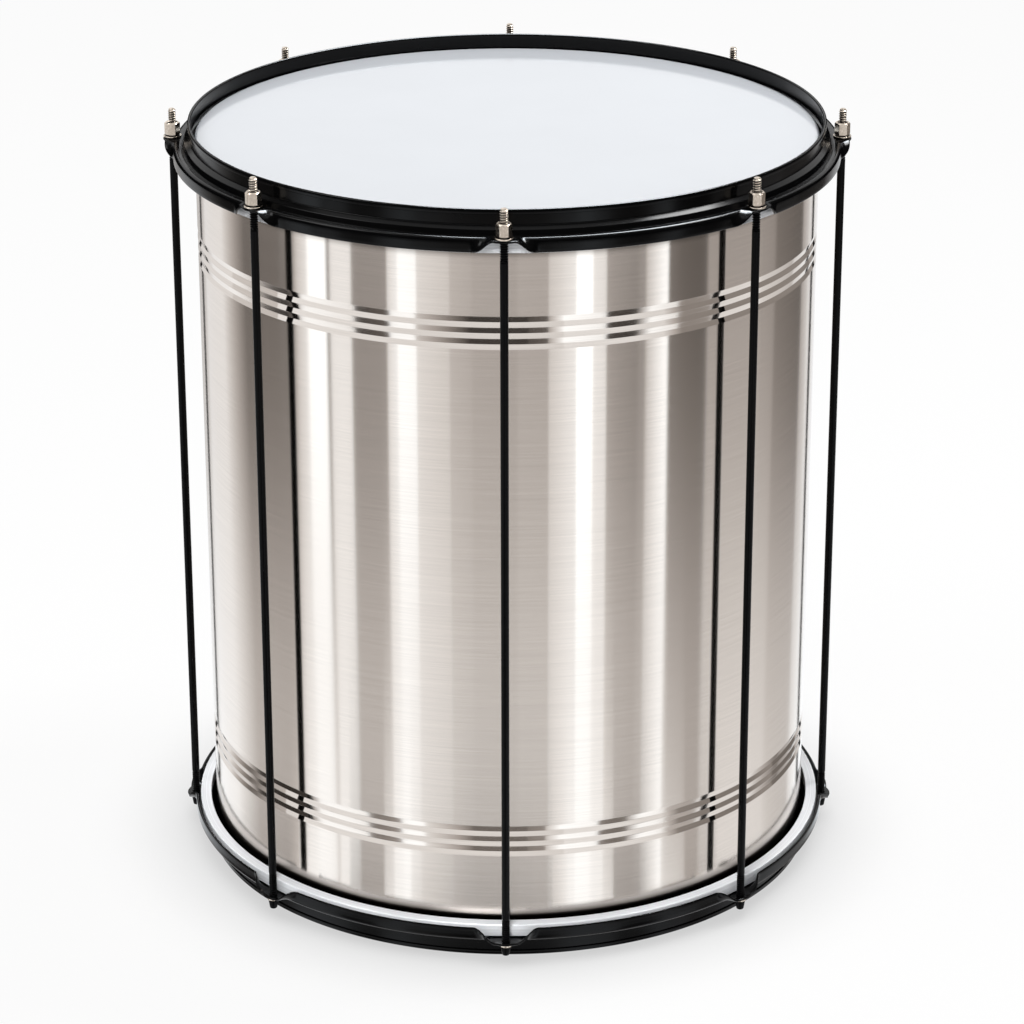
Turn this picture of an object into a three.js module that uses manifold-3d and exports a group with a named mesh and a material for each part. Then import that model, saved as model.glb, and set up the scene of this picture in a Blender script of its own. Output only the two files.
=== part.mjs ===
// A surdo, the deep drum of samba: a steel shell closed by two heads, whose hoops are
// drawn together by eight long tie rods. Millimetres, +Z up, the drum stands on its
// lower hoop at z = 0 with its axis on the Z axis. One rod faces the player at -Y.
import * as THREE from "three";
import { mergeVertices } from "three/addons/utils/BufferGeometryUtils.js";
import Module from "manifold-3d";

const wasm = await Module();
wasm.setup();

// Clearances
const seatGap = 0.3; // between pieces that rest on each other
const overrun = 2; // how far a cutter runs past what it cuts

// Shell: rolled stainless sheet with beaded edges and two bands of pressed grooves
const shellRadius = 251;
const shellLength = 600;
const shellWall = 1;
const beadRadius = 2.4;
const grooveInset = 73.5; // from the end of the shell to its band of grooves
const groovePitch = 8.8;
const grooveDepth = 1;
const groovesPerBand = 3;

// Heads: a plastic film whose collar is held in an aluminium flesh hoop
const filmThickness = 0.35;
const collarInset = 1.9; // from the bore of the flesh hoop to the film it holds
const collarGrip = 2.7; // how deep the film sits in the flesh hoop
const fleshGap = 4.5; // round the shell
const fleshWidth = 9;
const fleshHeight = 10.2;

// Counterhoops: one pressed sheet, from the upright rim out to the skirt
const sheet = 1.8;
const rimStand = 11.6; // how far the rim stands above the film
const rimGap = 2.6; // from the radius of the shell to the inside of the rim
const hemWidth = 2.8;
const hemHeight = 4.2;
const hemEase = 0.8;
const wallFoot = 0.6; // below the film, where the wall of the rim starts to slope out
const ledgeDrop = 3.4; // from the film down to the ledge
const ledgeEase = 0.9;
const crestDrop = 3.6; // from the ledge down to the crest
const troughDip = 0.6; // from the crest down into the trough
const troughRun = 1.6;
const ledgeRun = 1.8; // from the corner of the ledge out to the trough
const crestWidth = 2.4;
const skirtBend = 2.4;
const skirtLength = 11.6; // from the crest down to the edge of the skirt
const skirtClearance = 2.2; // between the flesh hoop and the skirt

// Ears: where the skirt turns up flat to carry a rod
const earFlat = 16; // width of the flat part
const earNotch = 54; // width over which the skirt is turned up
const earReach = 7.5; // from the rod's axis out to the edge of the ear
const earCornerShare = 0.25; // of the reach, lost at the corners of the flat part
const earHoleClearance = 0.5;

// Tie rods and their fittings: quarter inch, 20 threads to the inch
const rods = 8;
const rodStep = 2.1; // from the middle of the skirt's sheet out to the rod's axis
const rodRadius = 3.175;
const threadPitch = 1.27;
const threadDepth = 0.6;
const threadCrests = 9; // that stand clear above the nut
const tipEase = 1.4;
const tipOut = 11.4; // how far the rod stands out of its nut
const headTopRadius = 4.2;
const headFootRadius = 2.9;
const headHeight = 8.2;
const headEase = 1.6;
const nutAcrossFlats = 11.1;
const nutHeight = 10.5;
const nutChamfer = 1.1;
const nutBoreClearance = 0.38;
const upperWasherRadius = 7.35;
const upperWasherThickness = 1.3;
const lowerWasherRadius = 5;
const lowerWasherThickness = 2.2;
const washerBoreClearance = 0.45;
const nutSides = 6;

// How finely round pieces are faceted
const drumFacets = 48;
const rodFacets = 8;
const washerFacets = 12;
const boreFacets = 12;
const earFlatSteps = 4;
const earFlankSteps = 3;
const hoopPlainSteps = 4;
const beadSteps = 4;
const skirtBendSteps = 1;
const collarBendSteps = 1;

// Heights, measured down from the edge of a rim, which the two ends of the drum share
const ledgeDepth = rimStand + ledgeDrop;
const crestDepth = ledgeDepth + crestDrop;
const troughDepth = crestDepth + troughDip;
const fleshDepth = troughDepth + sheet + seatGap;
const shellDepth = rimStand + filmThickness + seatGap;
const drumHeight = shellLength + 2 * shellDepth;
const upperWasherDepth = crestDepth - seatGap - upperWasherThickness;
const nutDepth = upperWasherDepth - seatGap - nutHeight;

// Heights above the floor
const tipHeight = drumHeight - nutDepth + tipOut;
const lowerWasherFoot = crestDepth - seatGap - lowerWasherThickness;
const rodHeadTop = lowerWasherFoot - seatGap;

// Radii
const wallInner = shellRadius + rimGap;
const wallOuter = wallInner + sheet;
const fleshInner = shellRadius + fleshGap;
const fleshOuter = fleshInner + fleshWidth;
const skirtInner = fleshOuter + skirtClearance;
const skirtMiddle = skirtInner + sheet / 2;
const bendStart = skirtMiddle - skirtBend;
const crestStart = bendStart - crestWidth;
const troughRadius = crestStart - troughRun;
const ledgeRadius = troughRadius - ledgeRun;
const rodCircle = skirtMiddle + rodStep;
const collarRadius = fleshInner + collarInset;

// Materials

function shellSteel() {
  return new THREE.MeshStandardMaterial({ color: 0xb9b0aa, roughness: 0.32, metalness: 1 });
}

function headFilm() {
  return new THREE.MeshStandardMaterial({ color: 0xebeef2, roughness: 0.35, metalness: 0 });
}

function fleshAluminium() {
  return new THREE.MeshStandardMaterial({ color: 0xd0d2d5, roughness: 0.3, metalness: 1 });
}

function hoopPaint() {
  return new THREE.MeshStandardMaterial({ color: 0x121213, roughness: 0.3, metalness: 0 });
}

function rodPaint() {
  return new THREE.MeshStandardMaterial({ color: 0x0e0e10, roughness: 0.35, metalness: 0 });
}

function nickel() {
  return new THREE.MeshStandardMaterial({ color: 0xd6c7b8, roughness: 0.22, metalness: 1 });
}

// Solids

// Turns an outline of [radius, height] pairs round the Z axis. The outline runs
// anticlockwise, with the radius to the right and the height up.
function lathe(outline, facets) {
  const closed = outline.at(-1)[0] === 0 ? outline : [...outline, outline[0]];
  const points = closed.map(([radius, height]) => new THREE.Vector2(radius, height));
  return new THREE.LatheGeometry(points, facets).rotateX(Math.PI / 2);
}

// Points on an arc round [radius, height], between two angles in radians
function arc([radius, height], size, from, to, steps) {
  return Array.from({ length: steps + 1 }, (_, step) => {
    const angle = from + ((to - from) * step) / steps;
    return [radius + size * Math.cos(angle), height + size * Math.sin(angle)];
  });
}

function toSolid(geometry) {
  const bare = new THREE.BufferGeometry();
  bare.setAttribute("position", geometry.getAttribute("position"));
  bare.setIndex(geometry.index);
  const merged = mergeVertices(bare);
  return new wasm.Manifold(
    new wasm.Mesh({
      numProp: 3,
      vertProperties: merged.attributes.position.array,
      triVerts: new Uint32Array(merged.index.array),
    }),
  );
}

function toGeometry(solid) {
  const { vertProperties, triVerts } = solid.getMesh();
  const geometry = new THREE.BufferGeometry();
  geometry.setAttribute("position", new THREE.BufferAttribute(vertProperties, 3));
  geometry.setIndex(new THREE.BufferAttribute(triVerts, 1));
  geometry.computeVertexNormals();
  return geometry;
}

function upright(radius, height, facets) {
  return new THREE.CylinderGeometry(radius, radius, height, facets).rotateX(Math.PI / 2);
}

// Shell

// One side of the shell's wall from its foot to its top, grooves and all
function wallPoints(radius) {
  const bandHeight = groovesPerBand * groovePitch;
  const points = [];
  for (const foot of [grooveInset, shellLength - grooveInset - bandHeight]) {
    for (let step = 0; step <= 2 * groovesPerBand; step++) {
      const depth = step % 2 ? grooveDepth : 0;
      points.push([radius - depth, foot + (step * groovePitch) / 2]);
    }
  }
  return points;
}

// The beaded edge is rolled inwards, so that the film bears on its round top.
function shellGeometry() {
  const beadCentre = shellRadius - beadRadius;
  const inner = shellRadius - shellWall;
  const neck = beadRadius + Math.sqrt(beadRadius ** 2 - (beadRadius - shellWall) ** 2);
  const top = arc([beadCentre, shellLength - beadRadius], beadRadius, 0, Math.PI, beadSteps);
  const foot = arc([beadCentre, beadRadius], beadRadius, Math.PI, 2 * Math.PI, beadSteps);
  return lathe(
    [
      ...wallPoints(shellRadius),
      ...top,
      [inner, shellLength - neck],
      ...wallPoints(inner).reverse(),
      [inner, neck],
      ...foot,
    ],
    drumFacets,
  );
}

// Heads, drawn for the upper end, with the edge of the rim at z = 0

// Where a line from a point outside touches a circle, as an angle round the circle
function touchAngle([radius, height], [outsideRadius, outsideHeight], size) {
  const across = outsideRadius - radius;
  const down = outsideHeight - height;
  return Math.atan2(down, across) + Math.acos(size / Math.hypot(across, down));
}

function filmGeometry() {
  const bead = [shellRadius - beadRadius, -shellDepth - beadRadius];
  const under = beadRadius + seatGap;
  const over = under + filmThickness;
  const tail = -fleshDepth - collarGrip;
  const innerKnee = [collarRadius, -fleshDepth];
  const outerKnee = [collarRadius + filmThickness, -fleshDepth];
  const top = Math.PI / 2;
  return lathe(
    [
      [0, -rimStand - filmThickness],
      ...arc(bead, under, top, touchAngle(bead, innerKnee, under), collarBendSteps),
      innerKnee,
      [collarRadius, tail],
      [collarRadius + filmThickness, tail],
      outerKnee,
      ...arc(bead, over, touchAngle(bead, outerKnee, over), top, collarBendSteps),
      [0, -rimStand],
    ],
    drumFacets,
  );
}

function fleshHoopGeometry() {
  const top = -fleshDepth;
  const foot = top - fleshHeight;
  const slotFoot = top - collarGrip - seatGap;
  const slotInner = collarRadius - seatGap;
  const slotOuter = collarRadius + filmThickness + seatGap;
  return lathe(
    [
      [fleshInner, foot],
      [fleshOuter, foot],
      [fleshOuter, top],
      [slotOuter, top],
      [slotOuter, slotFoot],
      [slotInner, slotFoot],
      [slotInner, top],
      [fleshInner, top],
    ],
    drumFacets,
  );
}

// Counterhoops, drawn for the upper end, with the edge of the rim at z = 0

// The skirt's sheet beyond the crest: a bend of the given turn, then a straight leg
function skirtPoints(turn, sheetLength) {
  const middle = -crestDepth - sheet / 2;
  const points = [];
  for (let step = 0; step <= skirtBendSteps; step++) {
    const angle = (turn * step) / skirtBendSteps;
    points.push({
      radius: bendStart + skirtBend * Math.sin(angle),
      height: middle - skirtBend * (1 - Math.cos(angle)),
      angle,
    });
  }
  const { radius, height } = points.at(-1);
  const leg = sheetLength - skirtBend * turn;
  points.push({
    radius: radius + leg * Math.cos(turn),
    height: height - leg * Math.sin(turn),
    angle: turn,
  });
  return points;
}

// The section of the hoop's sheet, anticlockwise, where the skirt turns down by the
// given angle and is as long as the given length measured along the sheet
function hoopSection(turn, sheetLength) {
  const skirt = skirtPoints(turn, sheetLength);
  const half = sheet / 2;
  const under = skirt.map(({ radius, height, angle }) => [
    radius - half * Math.sin(angle),
    height - half * Math.cos(angle),
  ]);
  const over = skirt.map(({ radius, height, angle }) => [
    radius + half * Math.sin(angle),
    height + half * Math.cos(angle),
  ]);
  return [
    [wallInner, -rimStand - wallFoot],
    [ledgeRadius - ledgeEase, -ledgeDepth - sheet],
    [troughRadius, -troughDepth - sheet],
    ...under,
    ...over.reverse(),
    [crestStart, -crestDepth],
    [troughRadius, -troughDepth],
    [ledgeRadius + ledgeEase, -ledgeDepth - ledgeEase],
    [ledgeRadius - ledgeEase, -ledgeDepth],
    [wallOuter, -rimStand - wallFoot],
    [wallOuter, -hemHeight - hemEase],
    [wallInner + hemWidth, -hemHeight],
    [wallInner + hemWidth, -hemEase],
    [wallInner + hemWidth - hemEase, 0],
    [wallInner, 0],
  ];
}

// Stations along one eighth of the hoop, from the middle of one ear to the middle of
// the next, as distances along the rod circle with the skirt's turn and length there
function hoopStations() {
  const pitch = (2 * Math.PI * rodCircle) / rods;
  const hanging = {
    turn: Math.PI / 2,
    length: skirtLength - sheet / 2 - skirtBend + (skirtBend * Math.PI) / 2,
  };
  const reach = rodCircle + earReach - bendStart;
  const stations = [];
  for (let step = 0; step < earFlatSteps / 2; step++) {
    const share = step / (earFlatSteps / 2);
    const lost = earReach * earCornerShare * share ** 2;
    stations.push({ at: (share * earFlat) / 2, turn: 0, length: reach - lost });
  }
  const cornerReach = reach - earReach * earCornerShare;
  for (let step = 0; step < earFlankSteps; step++) {
    const share = step / earFlankSteps;
    const eased = share * share * (3 - 2 * share);
    stations.push({
      at: (earFlat + (earNotch - earFlat) * share) / 2,
      turn: hanging.turn * eased,
      length: cornerReach + (hanging.length - cornerReach) * eased,
    });
  }
  for (let step = 0; step <= hoopPlainSteps; step++) {
    const at = earNotch / 2 + ((pitch - earNotch) * step) / hoopPlainSteps;
    stations.push({ at, ...hanging });
  }
  const back = stations.slice(1, -hoopPlainSteps - 1).reverse();
  return [...stations, ...back.map((station) => ({ ...station, at: pitch - station.at }))];
}

function rodAngle(index) {
  return -Math.PI / 2 + (2 * Math.PI * index) / rods;
}

// The sheet is swept round the drum from station to station.
function hoopGeometry() {
  const positions = [];
  const faces = [];
  const stations = hoopStations();
  const points = hoopSection(stations[0].turn, stations[0].length).length;
  const turns = rods * stations.length;
  for (let rod = 0; rod < rods; rod++) {
    for (const { at, turn, length } of stations) {
      const angle = rodAngle(rod) + at / rodCircle;
      for (const [radius, height] of hoopSection(turn, length)) {
        positions.push(radius * Math.cos(angle), radius * Math.sin(angle), height);
      }
    }
  }
  for (let turn = 0; turn < turns; turn++) {
    const next = (turn + 1) % turns;
    for (let point = 0; point < points; point++) {
      const after = (point + 1) % points;
      const [a, b] = [turn * points + point, turn * points + after];
      const [c, d] = [next * points + after, next * points + point];
      faces.push(a, c, b, a, d, c);
    }
  }
  const geometry = new THREE.BufferGeometry();
  geometry.setAttribute("position", new THREE.Float32BufferAttribute(positions, 3));
  geometry.setIndex(faces);
  let hoop = toSolid(geometry);
  for (let rod = 0; rod < rods; rod++) {
    const hole = upright(rodRadius + earHoleClearance, sheet + 2 * overrun, boreFacets);
    const x = rodCircle * Math.cos(rodAngle(rod));
    const y = rodCircle * Math.sin(rodAngle(rod));
    hole.translate(x, y, -crestDepth - sheet / 2);
    hoop = hoop.subtract(toSolid(hole));
  }
  return toGeometry(hoop);
}

// Tie rods, drawn on the Z axis, with the tip at z = 0

// The outline runs up from the forged head to the crests of the thread.
function rodGeometry() {
  const headTop = rodHeadTop - tipHeight;
  const headFoot = headTop - headHeight;
  const root = rodRadius - threadDepth;
  const crestsFoot = -tipEase - threadCrests * threadPitch;
  const thread = [];
  for (let crest = 0; crest < threadCrests; crest++) {
    const foot = crestsFoot + crest * threadPitch;
    thread.push([root, foot], [rodRadius, foot + threadPitch / 2]);
  }
  return lathe(
    [
      [0, headFoot],
      [headFootRadius - headEase, headFoot],
      [headFootRadius, headFoot + headEase],
      [headTopRadius, headTop - headEase / 2],
      [headTopRadius - headEase / 2, headTop],
      [rodRadius, headTop],
      [rodRadius, crestsFoot - threadPitch / 2],
      ...thread,
      [root, -tipEase],
      [root - tipEase, 0],
      [0, 0],
    ],
    rodFacets,
  );
}

// Nuts: a hexagon whose corners are turned down at both ends, drawn on the Z axis
// with its foot at z = 0 and a flat facing -Y
function nutGeometry() {
  const corner = nutAcrossFlats / Math.sqrt(3);
  const flat = nutAcrossFlats / 2;
  const hexagon = upright(corner, nutHeight, nutSides).translate(0, 0, nutHeight / 2);
  hexagon.rotateZ(Math.PI / nutSides);
  const turned = lathe(
    [
      [0, 0],
      [flat, 0],
      [corner + nutChamfer, nutChamfer],
      [corner + nutChamfer, nutHeight - nutChamfer],
      [flat, nutHeight],
      [0, nutHeight],
    ],
    washerFacets,
  );
  const bore = upright(rodRadius + nutBoreClearance, nutHeight + 2 * overrun, boreFacets);
  bore.translate(0, 0, nutHeight / 2);
  return toGeometry(toSolid(hexagon).intersect(toSolid(turned)).subtract(toSolid(bore)));
}

function washerGeometry(radius, thickness) {
  const bore = rodRadius + washerBoreClearance;
  return lathe(
    [
      [bore, 0],
      [radius, 0],
      [radius, thickness],
      [bore, thickness],
    ],
    washerFacets,
  );
}

// The drum

function piece(name, geometry, material) {
  const mesh = new THREE.Mesh(geometry, material);
  mesh.name = name;
  return mesh;
}

function headEnd(prefix) {
  const end = new THREE.Group();
  end.add(
    piece(`${prefix}_hoop`, hoopGeometry(), hoopPaint()),
    piece(`${prefix}_head_film`, filmGeometry(), headFilm()),
    piece(`${prefix}_flesh_hoop`, fleshHoopGeometry(), fleshAluminium()),
  );
  return end;
}

function rodSet(index) {
  const set = new THREE.Group();
  const number = index + 1;
  const rod = piece(`tie_rod_${number}`, rodGeometry(), rodPaint());
  rod.position.z = tipHeight;
  const nut = piece(`tension_nut_${number}`, nutGeometry(), nickel());
  nut.position.z = drumHeight - nutDepth - nutHeight;
  const upperWasher = piece(
    `nut_washer_${number}`,
    washerGeometry(upperWasherRadius, upperWasherThickness),
    nickel(),
  );
  upperWasher.position.z = drumHeight - upperWasherDepth - upperWasherThickness;
  const lowerWasher = piece(
    `rod_head_washer_${number}`,
    washerGeometry(lowerWasherRadius, lowerWasherThickness),
    nickel(),
  );
  lowerWasher.position.z = lowerWasherFoot;
  set.add(rod, nut, upperWasher, lowerWasher);
  const angle = rodAngle(index);
  set.position.set(rodCircle * Math.cos(angle), rodCircle * Math.sin(angle), 0);
  return set;
}

function surdo() {
  const drum = new THREE.Group();
  const shell = piece("shell", shellGeometry(), shellSteel());
  shell.position.z = shellDepth;
  const topEnd = headEnd("top");
  topEnd.position.z = drumHeight;
  const bottomEnd = headEnd("bottom");
  bottomEnd.rotation.x = Math.PI;
  drum.add(shell, topEnd, bottomEnd);
  for (let index = 0; index < rods; index++) drum.add(rodSet(index));
  return drum;
}

export default surdo();
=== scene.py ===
"""Dresses a packed surdo drum: fine meshes, their finishes, and a studio."""

import math

import bmesh
import bpy
import numpy as np
from bpy.props import FloatProperty, FloatVectorProperty, IntProperty, PointerProperty
from bpy.types import Operator, Panel, PropertyGroup
from mathutils import Matrix, Vector


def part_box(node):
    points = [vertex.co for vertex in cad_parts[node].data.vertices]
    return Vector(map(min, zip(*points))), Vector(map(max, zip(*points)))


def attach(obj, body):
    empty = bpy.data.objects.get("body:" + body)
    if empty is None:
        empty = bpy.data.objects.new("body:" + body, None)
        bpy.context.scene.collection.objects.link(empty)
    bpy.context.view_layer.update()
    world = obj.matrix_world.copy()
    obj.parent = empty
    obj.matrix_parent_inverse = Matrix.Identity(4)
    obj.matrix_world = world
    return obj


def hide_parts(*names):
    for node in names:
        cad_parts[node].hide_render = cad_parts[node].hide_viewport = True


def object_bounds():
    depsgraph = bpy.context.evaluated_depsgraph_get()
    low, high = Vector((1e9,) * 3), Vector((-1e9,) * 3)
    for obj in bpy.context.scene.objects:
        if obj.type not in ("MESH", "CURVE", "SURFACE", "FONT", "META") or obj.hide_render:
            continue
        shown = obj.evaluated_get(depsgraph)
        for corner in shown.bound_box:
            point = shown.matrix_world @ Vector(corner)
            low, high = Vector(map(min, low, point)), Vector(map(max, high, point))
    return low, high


bl_info = {
    "name": "Surdo drum",
    "version": (1, 0, 0),
    "blender": (4, 5, 0),
    "location": "View3D > Sidebar > Surdo",
    "description": "Builds the visible pieces of a surdo drum and their finishes",
    "category": "Add Mesh",
}

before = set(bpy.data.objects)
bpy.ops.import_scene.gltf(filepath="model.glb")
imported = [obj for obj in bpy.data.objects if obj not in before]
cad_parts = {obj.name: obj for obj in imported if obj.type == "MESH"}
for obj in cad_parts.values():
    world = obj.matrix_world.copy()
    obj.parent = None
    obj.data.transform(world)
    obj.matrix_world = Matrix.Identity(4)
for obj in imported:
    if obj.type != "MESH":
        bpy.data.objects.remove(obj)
CAD_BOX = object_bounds()

MM = 0.001
RODS = 8

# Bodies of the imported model
DRUM_BODY = "shell_and_rods"
HEAD_BODY = "top_head"

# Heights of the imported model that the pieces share
TIP_HEIGHT = CAD_BOX[1].z
RIM_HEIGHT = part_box("top_hoop")[1].z
SHELL_FOOT, SHELL_TOP = (corner.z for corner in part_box("shell"))
NUT_FOOT, NUT_TOP = (corner.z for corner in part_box("tension_nut_1"))
NUT_WASHER_FOOT, NUT_WASHER_TOP = (corner.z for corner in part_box("nut_washer_1"))
HEAD_WASHER_FOOT, HEAD_WASHER_TOP = (corner.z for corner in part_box("rod_head_washer_1"))
ROD_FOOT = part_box("tie_rod_1")[0].z
FLESH_DEPTH = RIM_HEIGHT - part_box("top_flesh_hoop")[1].z
FLESH_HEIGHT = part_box("top_flesh_hoop")[1].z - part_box("top_flesh_hoop")[0].z

# Sizes of the hoop's pressed section, measured from the edge of the rim and the shell
SHEET = 1.8 * MM
RIM_GAP = 2.6 * MM
HEM_WIDTH = 2.8 * MM
HEM_HEIGHT = 4.2 * MM
HEM_EDGE = 0.5 * MM
WALL_DEPTH = 12.2 * MM
LEDGE_DEPTH = 15.0 * MM
CREST_DEPTH = 18.6 * MM
TROUGH_DEPTH = 19.2 * MM
LEDGE_RUN = 1.8 * MM
TROUGH_RUN = 1.6 * MM
CREST_WIDTH = 2.4 * MM
SKIRT_BEND = 2.4 * MM
SKIRT_LENGTH = 11.6 * MM
SKIRT_CLEARANCE = 2.2 * MM  # from the flesh hoop
FOOT_BEND = 1.6 * MM
LEDGE_BEND = 0.45 * MM
TROUGH_BEND = 1.1 * MM
CREST_BEND = 2.6 * MM

# Sizes of the ears
EAR_FLAT = 16 * MM
EAR_NOTCH = 54 * MM  # from the plain skirt on one side to that on the other
EAR_REACH = 7.5 * MM  # past the circle of the rods
EAR_CORNER_SHARE = 0.25  # of the reach, lost at the ends of the flat
EAR_HOLE_CLEARANCE = 0.5 * MM
ROD_STEP = 2.1 * MM  # from the middle of the skirt out to the rods

# Sizes of the shell, the films and the flesh hoops
SHELL_WALL = 1.0 * MM
BEAD_RADIUS = 2.4 * MM
GROOVE_INSET = 73.5 * MM
GROOVE_PITCH = 8.8 * MM
GROOVES = 3
GROOVE_BEND = 0.4 * MM
GROOVE_LEAN = 0.46  # share of the pitch that faces up
FILM_THICKNESS = 0.35 * MM
SEAT_GAP = 0.3 * MM
FLESH_GAP = 4.5 * MM  # from the shell
FLESH_WIDTH = 9 * MM
FLESH_EDGE = 0.45 * MM
COLLAR_INSET = 1.9 * MM  # from the inside of the flesh hoop
COLLAR_GRIP = 2.7 * MM  # depth of the film in its slot
COLLAR_START = -0.6 * MM  # where the film starts to darken, from the edge of the shell
COLLAR_FADE = 0.5 * MM
SHADE_FADE = 11 * MM  # from bare steel to painted shade at the ends of the shell
SHADE_EDGE = 0.5 * MM  # past the edge of the flesh hoop

# Sizes of the rods and their fittings
ROD_RADIUS = 3.175 * MM
THREAD_PITCH = 1.9 * MM  # 1.27 mm in truth, drawn coarser so that its rings show
THREAD_DEPTH = 0.78 * MM
THREAD_FADE = 3 * MM
BARE_THREAD = 17 * MM
UPPER_THREAD = 44 * MM
LOWER_THREAD = 24 * MM
TIP_EASE = 1.4 * MM
TIP_WEAR = 0.5  # share of the thread's depth that the tip has lost
HEAD_TOP_RADIUS = 4.2 * MM
HEAD_FOOT_RADIUS = 2.9 * MM
HEAD_TOP_EASE = 0.6 * MM
HEAD_FOOT_EASE = 1.4 * MM
NUT_ACROSS_FLATS = 11.1 * MM
NUT_BORE = 3.555 * MM
NUT_CHAMFER = 1.1 * MM
NUT_CORNER = 0.5 * MM
NUT_SIDES = 6
NUT_FACE_EASE = 0.35 * MM
NUT_MOUTH = 1.0 * MM
NUT_WASHER_RADIUS = 7.35 * MM
HEAD_WASHER_RADIUS = 5 * MM
WASHER_BORE = 3.625 * MM
WASHER_EDGE = 0.3 * MM

# How finely things are drawn
ROUND_DRUM = 512
ROUND_ROD = 40
ROUND_NUT = 96
BEND_STEPS = 6
BEAD_STEPS = 12
GROOVE_STEPS = 3
EDGE_STEPS = 4
HOOP_BEND_STEPS = 5
SKIRT_STEPS = 8
SKIRT_SHARES = (0.35, 0.7, 1.0)
HEM_STEPS = 10
NUT_CORNER_STEPS = 3
EAR_STEPS, FLANK_STEPS, PLAIN_STEPS = 9, 19, 19
FILM_RINGS = (0, 0.25, 0.5, 0.75, 0.95)
# Height and depth of the thread's edges, as shares of a turn and of its full depth
HELIX_MARKS = ((0.0, 0.0), (0.15, 0.0), (0.5, 1.0), (0.65, 1.0))
RING_MARKS = ((0.1, 1.0), (0.4, 0.0), (0.6, 0.0), (0.9, 1.0))
HOLD = 0.2 * MM  # from the end of a flat to the point that keeps it flat
SHARP_EDGE = math.radians(35)
WELD = 0.005 * MM
SLIVER = 0.001 * MM

# Camera, worked out from the drum's own sizes in the picture; angles in degrees
CAMERA_PLACE = (0.0262, -2.9025, 1.448)
CAMERA_TILT = 21.92
CAMERA_TURN = 0.45
CAMERA_ROLL = -0.1
CAMERA_LENS = 131.23
CAMERA_SENSOR = 36
CAMERA_REACH = 100


def linear(hex_colour):
    """An sRGB hex colour as linear red, green, blue and alpha."""
    channels = (int(hex_colour[i : i + 2], 16) / 255 for i in (1, 3, 5))
    return tuple(
        c / 12.92 if c <= 0.04045 else ((c + 0.055) / 1.055) ** 2.4 for c in channels
    ) + (1.0,)


def length_property(name, description, default):
    return FloatProperty(
        name=name,
        description=description,
        default=default,
        min=0,
        precision=4,
        subtype="DISTANCE",
        unit="LENGTH",
    )


def colour_property(name, description, hex_colour):
    return FloatVectorProperty(
        name=name,
        description=description,
        default=linear(hex_colour),
        size=4,
        min=0,
        max=1,
        subtype="COLOR",
    )


class SurdoSizes(PropertyGroup):
    shell_radius: length_property("Shell radius", "Outside of the steel shell", 0.251)
    groove_depth: length_property("Groove depth", "Depth of the pressed grooves", 0.001)
    nut_across: length_property("Nut", "Across the flats of a nut", NUT_ACROSS_FLATS)
    thread_depth: length_property("Thread depth", "Crest to root", THREAD_DEPTH)
    round_steps: IntProperty(
        name="Round steps",
        description="Facets round the shell and the hoops",
        default=ROUND_DRUM,
        min=48,
    )


class SurdoColours(PropertyGroup):
    steel: colour_property("Stainless steel", "The brushed shell", "#DFD6CE")
    film: colour_property("Head film", "The white polyester film", "#E6EAF0")
    # Painted shade: the colour of the film's collar, in place of the shadow in the gap by
    # the flesh hoop
    collar_shade: colour_property("Collar shade", "The dark collar of a film", "#141415")
    aluminium: colour_property("Aluminium", "The flesh hoops", "#E9EBEE")
    powder_coat: colour_property("Powder coat", "The black counterhoops", "#0B0B0C")
    rod_enamel: colour_property("Rod enamel", "The black rods", "#070708")
    nickel: colour_property("Nickel", "Nuts, washers and threads", "#E9DCCD")
    # Painted shade, laid in the roots of the threads and at the shell's ends where shade
    # falls
    painted_shade: colour_property("Painted shade", "In threads and at the shell's ends", "#2B241E")
    floor: colour_property("Floor", "The pale floor", "#FAFAFA")


def sizes():
    return bpy.context.scene.surdo_sizes


def colours():
    return bpy.context.scene.surdo_colours


# Outlines, as lists of (radius, height)


def arc(centre, size, start, end, steps=BEND_STEPS):
    """Points round centre from one angle to another, both ends included."""
    angles = np.linspace(start, end, steps + 1)
    return [
        (centre[0] + size * math.cos(a), centre[1] + size * math.sin(a)) for a in angles
    ]


def eased(points, radii, closed=True, steps=BEND_STEPS):
    """The line through points with each corner turned into an arc of its own radius."""
    made = []
    count = len(points)
    for i, (point, radius) in enumerate(zip(points, radii)):
        here = np.array(point, float)
        if radius <= 0 or (not closed and i in (0, count - 1)):
            made.append(tuple(here))
            continue
        before = np.array(points[i - 1], float) - here
        after = np.array(points[(i + 1) % count], float) - here
        before /= np.linalg.norm(before)
        after /= np.linalg.norm(after)
        half_angle = math.acos(max(-1.0, min(1.0, before @ after))) / 2
        reach = radius / math.tan(half_angle)
        centre = here + (before + after) / np.linalg.norm(before + after) * (
            radius / math.sin(half_angle)
        )
        start = here + before * reach - centre
        end = here + after * reach - centre
        first = math.atan2(start[1], start[0])
        sweep = (math.atan2(end[1], end[0]) - first + math.pi) % (2 * math.pi) - math.pi
        made += arc(centre, radius, first, first + sweep, steps)
    return made


def held(points, hold):
    """The line with a point added near both ends of each long stretch, so that what is
    flat also shades flat."""
    made = [points[0]]
    for start, end in zip(points, points[1:]):
        along = np.subtract(end, start)
        length = np.linalg.norm(along)
        if length > 3 * hold:
            step = along * hold / length
            made += [tuple(start + step), tuple(end - step)]
        made.append(end)
    return made


def offset_line(points, distance):
    """An open line moved to its left by distance, with mitred corners."""
    points = [np.array(p, float) for p in points]
    lefts = []
    for a, b in zip(points, points[1:]):
        along = (b - a) / np.linalg.norm(b - a)
        lefts.append(np.array((-along[1], along[0])))
    lefts = [lefts[0], *lefts, lefts[-1]]
    made = []
    for point, left, right in zip(points, lefts, lefts[1:]):
        middle = left + right
        made.append(tuple(point + middle * (distance * 2 / (middle @ middle))))
    return made


# Meshes


def on_circle(radius, angle, height, centre=(0, 0)):
    """A point round an upright axis through the centre."""
    x, y = centre
    return x + radius * math.cos(angle), y + radius * math.sin(angle), height


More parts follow.
